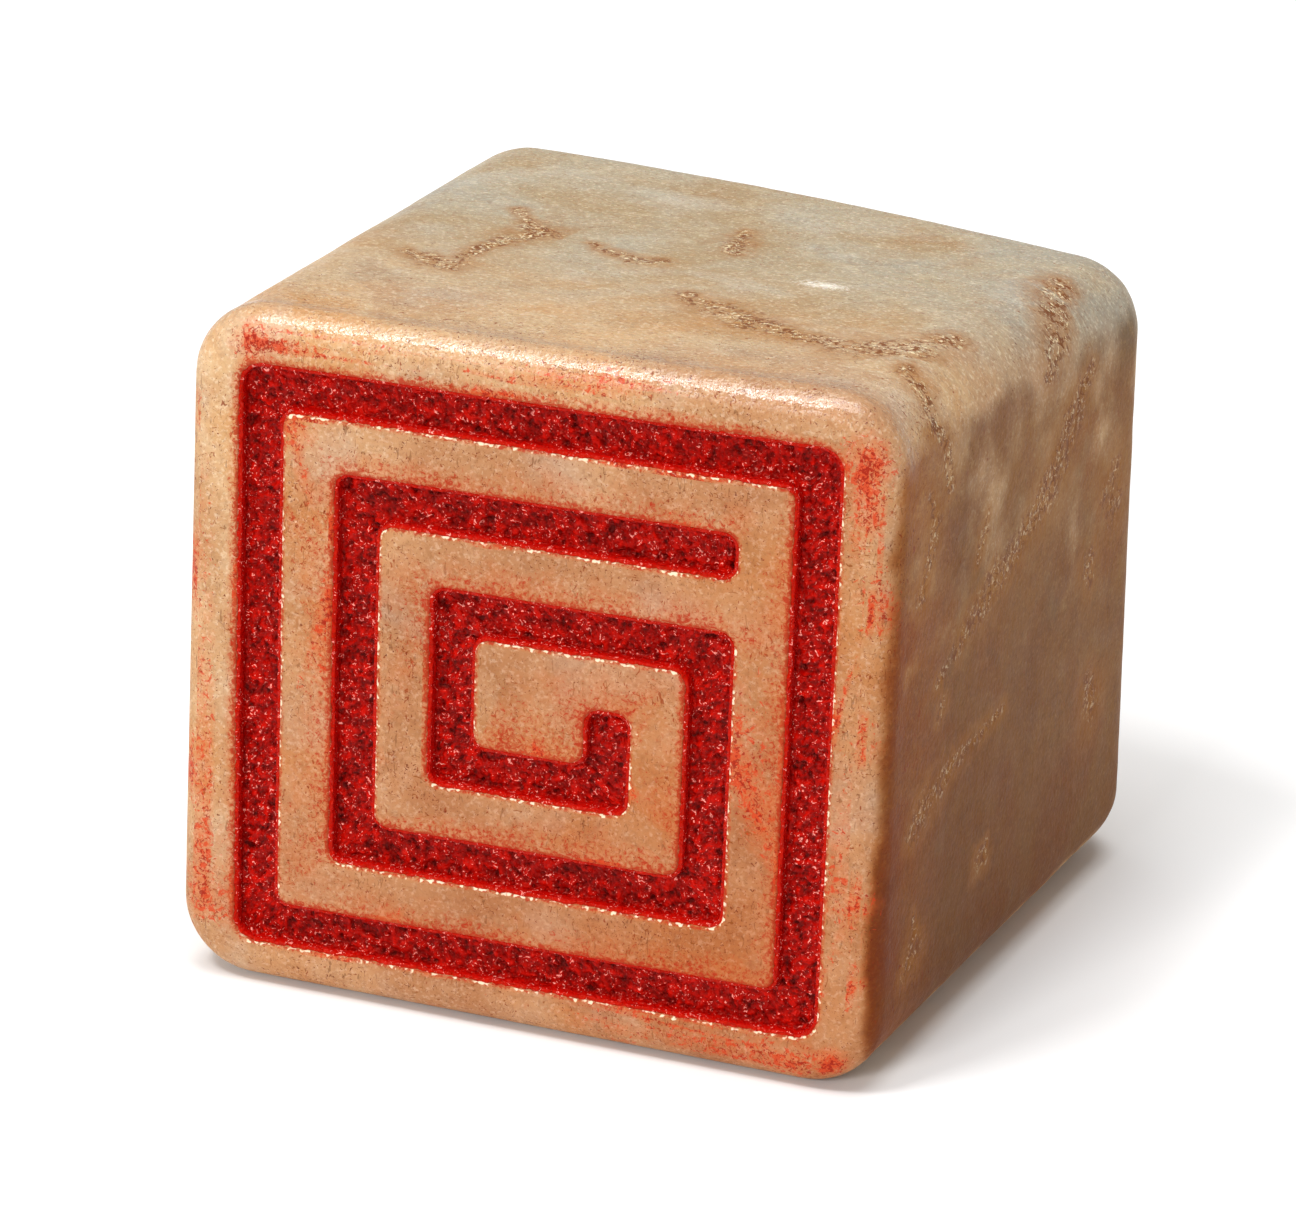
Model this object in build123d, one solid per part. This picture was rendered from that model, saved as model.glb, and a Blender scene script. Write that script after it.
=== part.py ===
from build123d import *
import os
from math import cos, radians, sin, tan

# Seal stamp: a hand-sawn soapstone block that lies on one side, with its stamping face upright and towards -Y.
# The face has a square border groove and a square-spiral fret groove cut into it, and dried seal paste lines
# both. +Y runs back along the stone, and the stone rests on Z = 0. Lengths are millimetres, angles degrees.

# Stone: the sawn sizes, before its edges are rounded
face_width = 24.9
face_height = 24.5
stone_length = 27.95
edge_radius = 2.7
front_rim_radius = 1.15
back_bow_radius = 80.0

# How far each hand-sawn side is out of square with the face
right_flare = 5.95
right_lean = 1.1
top_fall = 4.1
top_rise = 0.4
back_slant = 9.8
back_lean = 3.2

# Border groove: one closed square, laid out from the stone's left side and from the side that it rests on
border_side = 20.85
border_width = 1.56
border_left_margin = 2.08
border_bottom_margin = 1.76
border_outer_corner = 0.8
border_inner_corner = 0.42
carving_turn = 0.75

# Fret groove: one square spiral, with lands of the same breadth all round it
fret_width = 1.6
fret_land = 1.86
fret_corner = 0.5

# Section of both grooves, and the coat of paste in them
groove_depth = 0.62
groove_draft = 10.0
paste_floor = 0.12
paste_wall = 0.08

# Extra that the rough block has beyond the sides that are sawn and rubbed to shape
overrun = 5.0


def sawn_block():
    """The block as it is sawn, with flat sides, and with a back end that is rubbed to a shallow bow in plan."""
    right_side = Plane(
        origin=(face_width / 2, 0, face_height / 2),
        z_dir=(1, -tan(radians(right_flare)), tan(radians(right_lean))),
    )
    top_side = Plane(
        origin=(0, 0, face_height),
        z_dir=(-tan(radians(top_rise)), tan(radians(top_fall)), 1),
    )
    back_middle = Vector(0, stone_length, face_height / 2)
    back_normal = Vector(tan(radians(back_slant)), 1, tan(radians(back_lean))).normalized()

    # The rough block starts at the left, bottom and front sides, and is larger than the stone on the others.
    rough_width = face_width + stone_length * tan(radians(right_flare)) + overrun
    rough_height = face_height + overrun
    rough_length = stone_length + face_width * tan(radians(back_slant)) + overrun
    corner = Pos(-face_width / 2, 0, 0)
    block = corner * Box(rough_width, rough_length, rough_height, align=(Align.MIN, Align.MIN, Align.MIN))
    for side in (right_side, top_side):
        block = split(block, bisect_by=side, keep=Keep.BOTTOM)
    bow_axis = Plane(
        origin=back_middle - back_normal * back_bow_radius,
        z_dir=(0, -back_normal.Z, back_normal.Y),
    )
    return block & bow_axis * Cylinder(back_bow_radius, 2 * rough_height)


def rounded_block():
    """The sawn block with its long edges and back rim rubbed round, and a tighter rim round the face."""
    block = sawn_block()
    front_edges = block.faces().sort_by(Axis.Y)[0].edges()
    other_edges = [edge for edge in block.edges() if edge not in front_edges]
    block = fillet(other_edges, radius=edge_radius)
    front_rim = block.faces().sort_by(Axis.Y)[0].outer_wire().edges()
    return fillet(front_rim, radius=front_rim_radius)


def carving_plane():
    """Plane of the stamping face: its X runs to the right, its Y runs up, and its normal points out."""
    half_side = border_side / 2
    centre = (border_left_margin + half_side - face_width / 2, 0, border_bottom_margin + half_side)
    turn = radians(carving_turn)
    return Plane(origin=centre, x_dir=(cos(turn), 0, sin(turn)), z_dir=(0, -1, 0))


def border_outline():
    """Mouth of the border groove on the face."""
    inner_side = border_side - 2 * border_width
    outer = RectangleRounded(border_side, border_side, border_outer_corner)
    return outer - RectangleRounded(inner_side, inner_side, border_inner_corner)


def fret_path():
    """Corners of the spiral's centre line, from its outer end inwards.

    After the first three runs, every second turn makes the run one pitch shorter, which keeps the lands even. The
    first run shorter than a pitch is the last, and one no longer than the groove is wide isn't cut.
    """
    pitch = fret_width + fret_land
    side = border_side - 2 * (border_width + fret_land) - fret_width
    headings = ((-1, 0), (0, -1), (1, 0), (0, 1))
    corners = [(side / 2, side / 2)]
    turns = 0
    run = side
    previous = side
    while run > fret_width and previous >= pitch:
        x, y = corners[-1]
        right, up = headings[turns % len(headings)]
        corners.append((x + right * run, y + up * run))
        turns += 1
        previous = run
        run = side - pitch * max(0, (turns - 1) // 2)
    return corners


def fret_outline():
    """Mouth of the fret groove on the face: one straight run for each side of the spiral."""
    path = fret_path()
    runs = Sketch()
    for (x0, y0), (x1, y1) in zip(path, path[1:]):
        run = Rectangle(abs(x1 - x0) + fret_width, abs(y1 - y0) + fret_width)
        runs += Pos((x0 + x1) / 2, (y0 + y1) / 2) * run
    return fillet(runs.vertices(), radius=fret_corner)


def sunk(outline, depth):
    """The space under an outline of the face, with walls that draw in towards its floor."""
    return extrude(carving_plane() * outline, amount=-depth, taper=groove_draft)


def paste_coat(outline):
    """Paste that covers the floor and the walls of a groove and leaves its middle open."""
    open_middle = sunk(offset(outline, amount=-paste_wall), groove_depth - paste_floor)
    return sunk(outline, groove_depth) - open_middle


outlines = {"border_paste": border_outline(), "fret_paste": fret_outline()}

stone = rounded_block()
for outline in outlines.values():
    stone -= sunk(outline, groove_depth)

nodes = {"stone_block": stone}
for name, outline in outlines.items():
    nodes[name] = paste_coat(outline)

# The part stands over its origin: the middle of its box in plan, at the height of the side that it rests on.
box = stone.bounding_box()
to_origin = Pos(-box.center().X, -box.center().Y, -box.min.Z)

os.makedirs("parts", exist_ok=True)
for name, solid in nodes.items():
    export_step(to_origin * solid, f"parts/{name}.step")
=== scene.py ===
from math import ceil, cos, pi, radians, sin, tan

import bmesh
import bpy
import numpy as np
from mathutils import Matrix, Vector, noise


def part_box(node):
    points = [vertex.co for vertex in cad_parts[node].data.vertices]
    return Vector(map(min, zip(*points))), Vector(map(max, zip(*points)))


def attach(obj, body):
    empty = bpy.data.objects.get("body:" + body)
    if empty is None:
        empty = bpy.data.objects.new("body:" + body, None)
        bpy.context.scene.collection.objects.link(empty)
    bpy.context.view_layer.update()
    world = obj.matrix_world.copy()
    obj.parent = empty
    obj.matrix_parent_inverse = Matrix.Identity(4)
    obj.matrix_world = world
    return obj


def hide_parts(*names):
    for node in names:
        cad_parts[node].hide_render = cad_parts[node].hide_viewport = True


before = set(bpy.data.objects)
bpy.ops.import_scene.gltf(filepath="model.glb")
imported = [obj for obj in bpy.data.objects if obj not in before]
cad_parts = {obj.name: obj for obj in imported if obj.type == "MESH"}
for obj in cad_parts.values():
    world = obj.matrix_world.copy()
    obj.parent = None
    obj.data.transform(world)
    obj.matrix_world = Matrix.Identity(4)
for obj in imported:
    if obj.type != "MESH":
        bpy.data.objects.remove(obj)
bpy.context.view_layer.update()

# Stone block
# The body of the seal is one piece of cream soapstone, sawn square by eye, its edges rubbed round on wet
# abrasive paper. It is waxed and lets light a little way in. Brown mineral veins with loose grains cross it.

# The pieces are modelled in millimetres and brought to metres at the end.
mm = 0.001
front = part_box("stone_block")[0].y / mm

# The carving: a square border groove, and a square-spiral fret groove inside it
border_side = 20.85
border_width = 1.56
border_outer_corner = 0.8
border_inner_corner = 0.42
fret_width = 1.6
fret_land = 1.86
fret_corner = 0.5
groove_depth = 0.62
groove_slope = tan(radians(10.0))
carving_turn = radians(0.75)

# The block isn't quite square: its right side splays 6 degrees, and its top falls 4.1 degrees to the back.
right_slope = 0.104
top_slope = 0.072

carving_low, carving_high = (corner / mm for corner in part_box("border_paste"))
carving_middle = (carving_low + carving_high) / 2

# Distance between the rows of points along a groove
row_step = 0.062


def on_face(points, depth):
    """Places, at a depth in the face, of points given right and up from the middle of the carving."""
    points = np.asarray(points, float)
    turned_x = points[:, 0] * cos(carving_turn) - points[:, 1] * sin(carving_turn)
    turned_z = points[:, 0] * sin(carving_turn) + points[:, 1] * cos(carving_turn)
    depths = np.broadcast_to(np.asarray(depth, float), turned_x.shape)
    return np.stack([carving_middle.x + turned_x, front + depths, carving_middle.z + turned_z], axis=-1)


def square_path(side):
    """Corners of a closed square, counter-clockwise."""
    half = side / 2
    return [(half, half), (-half, half), (-half, -half), (half, -half)]


def spiral_path():
    """Corners of the fret's centre line, from its outer end in. Every second turn is a pitch shorter."""
    pitch = fret_width + fret_land
    side = border_side - 2 * (border_width + fret_land) - fret_width
    headings = ((-1, 0), (0, -1), (1, 0), (0, 1))
    corners = [(side / 2, side / 2)]
    turns, run, previous = 0, side, side
    while run > fret_width and previous >= pitch:
        x, y = corners[-1]
        right, up = headings[turns % len(headings)]
        corners.append((x + right * run, y + up * run))
        turns += 1
        previous = run
        run = side - pitch * max(0, (turns - 1) // 2)
    return corners


def groove_sides(path, width, outer_corner, inner_corner, closed):
    """Facing points on the two sides of a groove's mouth, row by row along its centre line."""
    half = width / 2
    # From the middle of an inner corner's arc to the centre line, to the outer side and to the outer arc
    reach = half + inner_corner
    far = width + inner_corner
    straight = far - outer_corner
    path = [Vector(point) for point in path]
    rows = []

    def end_rows(end, heading):
        """Rows round the two corners of an end wall, from that wall inwards."""
        across = Vector((-heading.y, heading.x))
        steps = ceil(outer_corner * pi / 2 / row_step) + 2
        for step in range(steps):
            turn = pi / 2 * step / steps
            middle = end + heading * (outer_corner * (1 - cos(turn)) - half)
            out = across * (half - outer_corner + outer_corner * sin(turn))
            rows.append((middle + out, middle - out))

    def corner_rows(corner, came, goes):
        """Rows that fan round a corner, about the middle of its tighter side's arc."""
        centre = corner + reach * (goes - came)
        steps = ceil((2 * straight + outer_corner * pi / 2) / row_step)
        for step in range(steps):
            turn = pi / 2 * step / steps
            ray = came * sin(turn) - goes * cos(turn)
            flat = far / max(cos(turn), sin(turn))
            if flat * min(cos(turn), sin(turn)) > straight:
                spread = straight * (cos(turn) + sin(turn))
                flat = spread + (spread**2 - 2 * straight**2 + outer_corner**2) ** 0.5
            near_point, far_point = centre + inner_corner * ray, centre + flat * ray
            turns_left = came.cross(goes) > 0
            rows.append((near_point, far_point) if turns_left else (far_point, near_point))

    runs = list(zip(path, path[1:] + path[:1])) if closed else list(zip(path, path[1:]))
    headings = [(end - start).normalized() for start, end in runs]
    if not closed:
        end_rows(path[0], headings[0])
    for index, (start, end) in enumerate(runs):
        heading = headings[index]
        across = Vector((-heading.y, heading.x)) * half
        begins = reach if closed or index else outer_corner - half
        last = not closed and index == len(runs) - 1
        length = (end - start).length - begins - (outer_corner - half if last else reach)
        steps = ceil(length / row_step)
        for step in range(steps):
            middle = start + heading * (begins + length * step / steps)
            rows.append((middle + across, middle - across))
        if not last:
            corner_rows(end, heading, headings[(index + 1) % len(runs)])
    if not closed:
        forward = len(rows)
        end_rows(path[-1], -headings[-1])
        rows[forward:] = [(b, a) for a, b in reversed(rows[forward:])]
    left, right = (np.array([row[side] for row in rows]) for side in (0, 1))
    return left, right


def add(tree, kind, inputs=None, stops=None, **settings):
    """Add a node with its settings, its inputs by name, number or identifier, and a colour ramp's stops.

    An input is a value, a socket or a node, which stands for its first output in use. The first two stops
    are the ends of the ramp.
    """
    node = tree.nodes.new(kind)
    for name, value in settings.items():
        setattr(node, name, value)
    for key, value in (inputs or {}).items():
        known = {socket.identifier: socket for socket in node.inputs}
        socket = known[key] if key in known else node.inputs[key]
        if isinstance(value, bpy.types.Node):
            value = next(output for output in value.outputs if output.enabled)
        if isinstance(value, bpy.types.NodeSocket):
            tree.links.new(value, socket)
        else:
            socket.default_value = value
    for index, (place, colour) in enumerate(stops or ()):
        elements = node.color_ramp.elements
        element = elements[index] if index < 2 else elements.new(place)
        element.position = place
        element.color = colour
    return node


def linear(code):
    """An sRGB hex colour as Blender's linear RGBA."""
    channels = [int(code[start : start + 2], 16) / 255 for start in (1, 3, 5)]
    return (*(c / 12.92 if c <= 0.04045 else ((c + 0.055) / 1.055) ** 2.4 for c in channels), 1.0)


def geometry_tree(name, inputs):
    """A Geometry Nodes tree with a geometry in and out and named inputs, and its input and output nodes."""
    tree = bpy.data.node_groups.new(name, "GeometryNodeTree")
    tree.interface.new_socket("Geometry", in_out="INPUT", socket_type="NodeSocketGeometry")
    tree.interface.new_socket("Geometry", in_out="OUTPUT", socket_type="NodeSocketGeometry")
    for label, kind in inputs.items():
        tree.interface.new_socket(label, in_out="INPUT", socket_type="NodeSocket" + kind)
    return tree, tree.nodes.new("NodeGroupInput").outputs, tree.nodes.new("NodeGroupOutput").inputs


def grow(piece, tree, values):
    """Put a Geometry Nodes tree on a piece, with its named inputs set."""
    modifier = piece.modifiers.new(tree.name, "NODES")
    modifier.node_group = tree
    for item in tree.interface.items_tree:
        if item.in_out == "INPUT" and item.name in values:
            modifier[item.identifier] = values[item.name]


def settle(piece):
    """Make a piece's modifiers part of its mesh, and bring it from millimetres to metres."""
    depsgraph = bpy.context.evaluated_depsgraph_get()
    mesh = bpy.data.meshes.new_from_object(piece.evaluated_get(depsgraph))
    piece.modifiers.clear()
    piece.data = mesh
    mesh.transform(Matrix.Scale(mm, 4))


def new_piece(name, points, edges=(), faces=()):
    """A mesh object of that name in the scene."""
    mesh = bpy.data.meshes.new(name)
    mesh.from_pydata([tuple(point) for point in points], edges, faces)
    piece = bpy.data.objects.new(name, mesh)
    bpy.context.scene.collection.objects.link(piece)
    return piece


def set_numbers(piece, name, values):
    """Store one number for each point of a piece's mesh."""
    stored = piece.data.attributes.new(name, "FLOAT", "POINT")
    stored.data.foreach_set("value", np.asarray(values, np.float32))


# Veins, each a run of (x, y, z, half breadth) drawn near the surface and then laid on it
veins = [
    [(0.6, -5.2, 23.8, 0.25), (2.2, -6.6, 23.9, 0.45), (3.9, -7.7, 24, 0.5), (6.0, -8.4, 24, 0.35),
     (7.4, -8.6, 24, 0.6), (8.8, -7.9, 24, 0.65), (9.4, -6.6, 23.9, 0.45), (10.2, -5.0, 23.8, 0.2)],
    [(-9.6, -4.9, 23.8, 0.2), (-8.8, -5.5, 23.8, 0.45), (-7.9, -5.9, 23.9, 0.4), (-7.3, -5.3, 23.8, 0.2)],
    [(-7.7, -5.0, 23.8, 0.15), (-7.6, -3.2, 23.7, 0.2), (-7.2, -1.9, 23.6, 0.28), (-6.6, 0.0, 23.5, 0.42),
     (-7.6, 1.4, 23.3, 0.15), (-8.6, 2.9, 23.2, 0.15)],
    [(-4.6, -0.4, 23.5, 0.12), (-3.4, -1.3, 23.6, 0.22), (-2.3, -1.9, 23.6, 0.28), (-1.3, -1.3, 23.6, 0.18)],
    [(-0.4, 4.2, 23.1, 0.15), (-0.1, 2.0, 23.3, 0.3), (0.3, 0.7, 23.4, 0.2)],
    [(11.1, 4.0, 23.0, 0.3), (11.3, 2.6, 23.0, 0.4), (12.0, 0.9, 22.8, 0.45), (12.6, -0.6, 22.2, 0.35),
     (12.6, -1.6, 21.5, 0.2)],
    [(9.6, -9.6, 24, 0.2), (10.6, -10.7, 23.9, 0.3), (11.3, -11.3, 23.0, 0.3), (11.6, -10.6, 21.8, 0.25),
     (11.6, -10.2, 20.2, 0.2)],
    [(13.0, 2.5, 20.6, 0.25), (12.9, 1.4, 19.6, 0.5), (12.7, 0.2, 18.4, 0.6), (12.6, -0.8, 17.4, 0.55),
     (12.4, -2.4, 16.7, 0.35), (12.2, -4.4, 15.9, 0.4), (12.0, -6.0, 15.4, 0.45), (11.8, -8.6, 14.4, 0.25),
     (11.6, -10.6, 13.4, 0.15)],
    [(12.2, -4.2, 10.4, 0.15), (11.9, -7.4, 10.1, 0.2), (11.7, -9.6, 9.8, 0.3), (11.6, -11.0, 9.4, 0.4),
     (11.5, -12.4, 8.5, 0.25)],
    [(11.5, -11.9, 20.6, 0.12), (11.5, -11.2, 19.4, 0.3), (11.4, -12.0, 17.6, 0.15),
     (11.4, -12.4, 17.0, 0.35)],
    [(12.0, -6.6, 18.4, 0.1), (11.9, -6.9, 17.6, 0.25), (11.9, -7.4, 16.6, 0.15)],
    [(11.6, -9.9, 12.6, 0.2), (11.5, -10.2, 12.0, 0.12)],
    [(12.2, -5.1, 5.8, 0.12), (12.1, -5.4, 5.4, 0.35), (12.2, -5.0, 5.0, 0.12)],
    [(11.5, -11.6, 5.6, 0.12), (11.5, -11.5, 4.4, 0.4), (11.4, -12.4, 3.4, 0.15)],
    [(13.4, 5.4, 15.3, 0.6), (13.4, 5.7, 14.2, 0.4)],
    [(13.0, 3.4, 13.2, 0.4), (13.0, 3.7, 12.4, 0.3)],
    [(13.3, 4.6, 7.4, 0.5), (13.2, 4.0, 8.5, 0.3)],
    [(-13.7, -8.0, 20.0, 0.3), (-13.7, -4.5, 17.5, 0.5), (-13.7, -1.0, 15.5, 0.3), (-13.7, 3.5, 14.5, 0.45),
     (-13.7, 8.5, 11.0, 0.3)],
    [(-13.7, -9.0, 6.0, 0.2), (-13.7, -6.0, 7.5, 0.4), (-13.7, -3.0, 7.0, 0.15)],
    [(-12.0, 14.0, 20.0, 0.3), (-8.0, 13.6, 15.0, 0.5), (-4.0, 13.0, 12.5, 0.3), (1.0, 12.0, 12.0, 0.45),
     (6.0, 10.5, 8.0, 0.5), (11.0, 8.8, 4.0, 0.3)],
    [(4.0, 11.4, 19.0, 0.2), (6.5, 10.6, 17.5, 0.45), (9.0, 9.8, 17.0, 0.2)],
    [(-10.0, -8.0, 0, 0.3), (-4.0, -3.0, 0, 0.5), (2.0, -1.0, 0, 0.3), (9.0, 6.0, 0, 0.45)],
]

# Smudges of paste on the face and its edges, each (x, z, half breadth) on the face, drawn
smudges = [
    (-11.3, 23.2, 0.4), (-9.6, 23.3, 0.25), (-7.2, 23.4, 0.25), (-3.2, 22.9, 0.5), (-1.2, 23.6, 0.3),
    (1.0, 23.6, 0.45), (3.0, 23.8, 0.25), (6.6, 23.6, 0.3), (9.9, 22.4, 0.5), (3.7, 20.6, 0.75),
    (1.5, 20.9, 0.4), (-9.4, 20.6, 0.55), (-8.5, 17.2, 0.4), (-8.3, 14.3, 0.55), (-12.9, 14.8, 0.8),
    (-12.8, 7.6, 0.7), (-12.4, 3.2, 0.6), (-8.9, 9.2, 0.4), (6.9, 14.1, 0.55), (6.5, 11.5, 0.75),
    (7.2, 7.8, 0.6), (9.6, 13.4, 0.5), (10.2, 7.2, 0.5), (10.2, 4.0, 0.45), (2.5, 1.1, 0.5),
    (-4.3, 1.0, 0.4), (-7.8, 1.3, 0.4), (8.5, 1.0, 0.4), (9.9, 1.1, 0.35), (7.2, 0.8, 0.25),
    (5.3, 1.3, 0.35), (10.2, 12.6, 0.35), (10.1, 20.6, 0.35), (-2.6, 17.0, 0.4), (-5.6, 11.6, 0.35),
    (3.0, 13.0, 0.35), (-0.8, 10.6, 0.3), (2.8, 9.8, 0.3), (-6.0, 4.2, 0.5), (1.6, 7.2, 0.45),
    (4.6, 4.0, 0.35), (10.4, 17.5, 0.5), (-12.9, 20.5, 0.45),
]

# A pale crystal spot on top, and how far paste was smeared over the rims, most above and to the left of a
# groove
pale_spot = (4.2, -1.5, 23.4)
smear_least = 0.07
smear_more = 0.15
smear_heading = (0.8, 0.6)

# How finely a vein's line is drawn, how far and how finely it wanders, and the distance from a mark, in half
# breadths, past which the mark does nothing
vein_step = 0.25
vein_wander = 0.14
vein_wander_size = 0.9
farthest_gap = 12.0


def merged_copy(node, name):
    """A copy of a CAD node in millimetres, its loose triangles joined."""
    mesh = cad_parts[node].data.copy()
    shape = bmesh.new()
    shape.from_mesh(mesh)
    bmesh.ops.remove_doubles(shape, verts=shape.verts, dist=mm / 1000)
    shape.to_mesh(mesh)
    shape.free()
    mesh.materials.clear()
    mesh.transform(Matrix.Scale(1 / mm, 4))
    piece = bpy.data.objects.new(name, mesh)
    bpy.context.scene.collection.objects.link(piece)
    return piece


def laid_veins(stone):
    """The veins as fine crooked lines that lie on the stone, with their breadths at their points."""
    points, edges, breadths = [], [], []
    for vein in veins:
        first = len(points)
        for start, end in zip(vein, vein[1:]):
            start, end = Vector(start), Vector(end)
            steps = max(1, ceil((end - start).to_3d().length / vein_step))
            for step in range(steps):
                spot = start.lerp(end, step / steps)
                wander = noise.noise_vector(spot.to_3d() / vein_wander_size) * vein_wander
                points.append(stone.closest_point_on_mesh(spot.to_3d() + wander)[1])
                breadths.append(spot[3])
        edges += [(index, index + 1) for index in range(first, len(points) - 1)]
    lines = new_piece("vein_lines", points, edges)
    set_numbers(lines, "breadth", breadths)
    return lines


def laid_smudges(stone):
    """The smudges as points on the stone, with their breadths."""
    places = [stone.closest_point_on_mesh(Vector((x, front, z)))[1] for x, z, _ in smudges]
    spots = new_piece("smudge_spots", places)
    set_numbers(spots, "breadth", [breadth for _, _, breadth in smudges])
    return spots


border_sides = groove_sides(
    square_path(border_side - border_width), border_width, border_outer_corner, border_inner_corner, True
)
fret_sides = groove_sides(spiral_path(), fret_width, fret_corner, fret_corner, False)


def rim_lines():
    """The mouths of both grooves as lines in the face, with how far paste was smeared out of each."""
    loops = [border_sides[0], border_sides[1][::-1], np.concatenate([fret_sides[0], fret_sides[1][::-1]])]
    points, edges, breadths = [], [], []
    for loop in loops:
        first = len(points)
        points += list(on_face(loop, 0.0))
        edges += [(index, index + 1) for index in range(first, len(points) - 1)]
        edges.append((len(points) - 1, first))
        travel = np.roll(loop, -1, axis=0) - np.roll(loop, 1, axis=0)
        travel /= np.linalg.norm(travel, axis=1)[:, None]
        breadths += list(smear_least + smear_more * (1 + travel @ np.array(smear_heading)) / 2)
    lines = new_piece("groove_rims", points, edges)
    set_numbers(lines, "breadth", breadths)
    return lines


def rubbed_stone_tree():
    """Sinks the surface by what the rubbing took, raises the grains in the veins and opens pits.

    It also stores how far each point lies from a vein, a smudge and a groove's mouth, in half breadths of
    each, and what that half breadth is.
    """
    tree, given, result = geometry_tree(
        "Rubbed stone",
        {
            "Veins": "Object", "Smudges": "Object", "Rims": "Object",
            "Front": "Float", "Land Depth": "Float",
            "Wave Size": "Float", "Wave Height": "Float", "Dent Size": "Float", "Dent Height": "Float",
            "Grain Size": "Float", "Grain Height": "Float", "Pit Spacing": "Float", "Pit Depth": "Float",
            "Seed": "Float", "Material": "Material",
        },
    )
    place = add(tree, "GeometryNodeInputPosition")
    moved = add(tree, "ShaderNodeVectorMath", {0: place, 1: given["Seed"]}, operation="ADD")
    breadth = add(tree, "GeometryNodeInputNamedAttribute", {"Name": "breadth"}, data_type="FLOAT")
    geometry = given["Geometry"]
    gaps = {}
    for name, source, kind in (
        ("vein", "Veins", "EDGES"), ("smudge", "Smudges", "POINTS"), ("rim", "Rims", "EDGES"),
    ):
        marks = add(tree, "GeometryNodeObjectInfo", {"Object": given[source]}).outputs["Geometry"]
        gap = add(tree, "GeometryNodeProximity", {0: marks}, target_element=kind).outputs["Distance"]
        nearest = add(tree, "GeometryNodeSampleNearest", {0: marks}, domain="POINT")
        taken = add(
            tree, "GeometryNodeSampleIndex", {0: marks, "Value": breadth, "Index": nearest},
            data_type="FLOAT", domain="POINT",
        )
        gap = add(tree, "ShaderNodeMath", {0: gap, 1: taken}, operation="DIVIDE")
        gaps[name] = add(tree, "ShaderNodeMath", {0: gap, 1: farthest_gap}, operation="MINIMUM")
        for stored, value in ((name, gaps[name]), (name + "_breadth", taken)):
            geometry = add(
                tree, "GeometryNodeStoreNamedAttribute",
                {"Geometry": geometry, "Name": stored, "Value": value}, data_type="FLOAT", domain="POINT",
            )

    # The face is one flat land, so the waves, dents and pits of the sides fade out towards it.
    depth = add(tree, "ShaderNodeSeparateXYZ", {0: place}).outputs["Y"]
    depth = add(tree, "ShaderNodeMath", {0: depth, 1: given["Front"]}, operation="SUBTRACT")
    away = add(tree, "ShaderNodeMapRange", {"Value": depth, "From Min": 0.15, "From Max": 1.6})
    sunk = given["Land Depth"]
    for size, height, detail in (("Wave Size", "Wave Height", 1.0), ("Dent Size", "Dent Height", 2.0)):
        scale = add(tree, "ShaderNodeMath", {0: 1.0, 1: given[size]}, operation="DIVIDE")
        lumps = add(tree, "ShaderNodeTexNoise", {"Vector": moved, "Scale": scale, "Detail": detail})
        taken = add(tree, "ShaderNodeMath", {0: lumps, 1: given[height]}, operation="MULTIPLY")
        sunk = add(tree, "ShaderNodeMath", {0: taken, 1: away, 2: sunk}, operation="MULTIPLY_ADD")

    # The grains stand above and below the skin, which their texture crosses at 0.34, and only in the veins.
    scale = add(tree, "ShaderNodeMath", {0: 1.0, 1: given["Grain Size"]}, operation="DIVIDE")
    grains = add(tree, "ShaderNodeTexVoronoi", {"Vector": moved, "Scale": scale}, feature="SMOOTH_F1")
    grains = add(tree, "ShaderNodeMath", {0: grains, 1: 0.34}, operation="SUBTRACT")
    grains = add(tree, "ShaderNodeMath", {0: grains, 1: given["Grain Height"]}, operation="MULTIPLY")
    ragged = add(tree, "ShaderNodeMath", {0: lumps, 1: 1.8, 2: gaps["vein"]}, operation="MULTIPLY_ADD")
    in_vein = add(tree, "ShaderNodeMapRange", {"Value": ragged, "From Min": 2.6, "From Max": 1.2})
    sunk = add(tree, "ShaderNodeMath", {0: grains, 1: in_vein, 2: sunk}, operation="MULTIPLY_ADD")

    # A few cells of the pits' texture open as pits, up to 0.7 mm wide.
    scale = add(tree, "ShaderNodeMath", {0: 1.0, 1: given["Pit Spacing"]}, operation="DIVIDE")
    cells = add(tree, "ShaderNodeTexVoronoi", {"Vector": moved, "Scale": scale})
    width = add(
        tree, "ShaderNodeMapRange",
        {"Value": cells.outputs["Color"], "From Min": 0.72, "From Max": 1.0, "To Max": 0.16},
    )
    hollow = add(tree, "ShaderNodeMath", {0: width, 1: cells.outputs["Distance"]}, operation="SUBTRACT")
    hollow = add(tree, "ShaderNodeMapRange", {"Value": hollow, "From Max": 0.07})
    hollow = add(tree, "ShaderNodeMath", {0: hollow, 1: given["Pit Depth"]}, operation="MULTIPLY")
    sunk = add(tree, "ShaderNodeMath", {0: hollow, 1: away, 2: sunk}, operation="MULTIPLY_ADD")

    inwards = add(tree, "ShaderNodeMath", {0: sunk, 1: -1.0}, operation="MULTIPLY")
    normal = add(tree, "GeometryNodeInputNormal")
    offset = add(tree, "ShaderNodeVectorMath", {0: normal, "Scale": inwards}, operation="SCALE")
    geometry = add(tree, "GeometryNodeSetPosition", {"Geometry": geometry, "Offset": offset})
    geometry = add(tree, "GeometryNodeSetShadeSmooth", {"Geometry": geometry})
    geometry = add(tree, "GeometryNodeRealizeInstances", {0: geometry})
    geometry = add(tree, "GeometryNodeSetMaterial", {"Geometry": geometry, "Material": given["Material"]})
    tree.links.new(geometry.outputs[0], result[0])
    return tree


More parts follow.
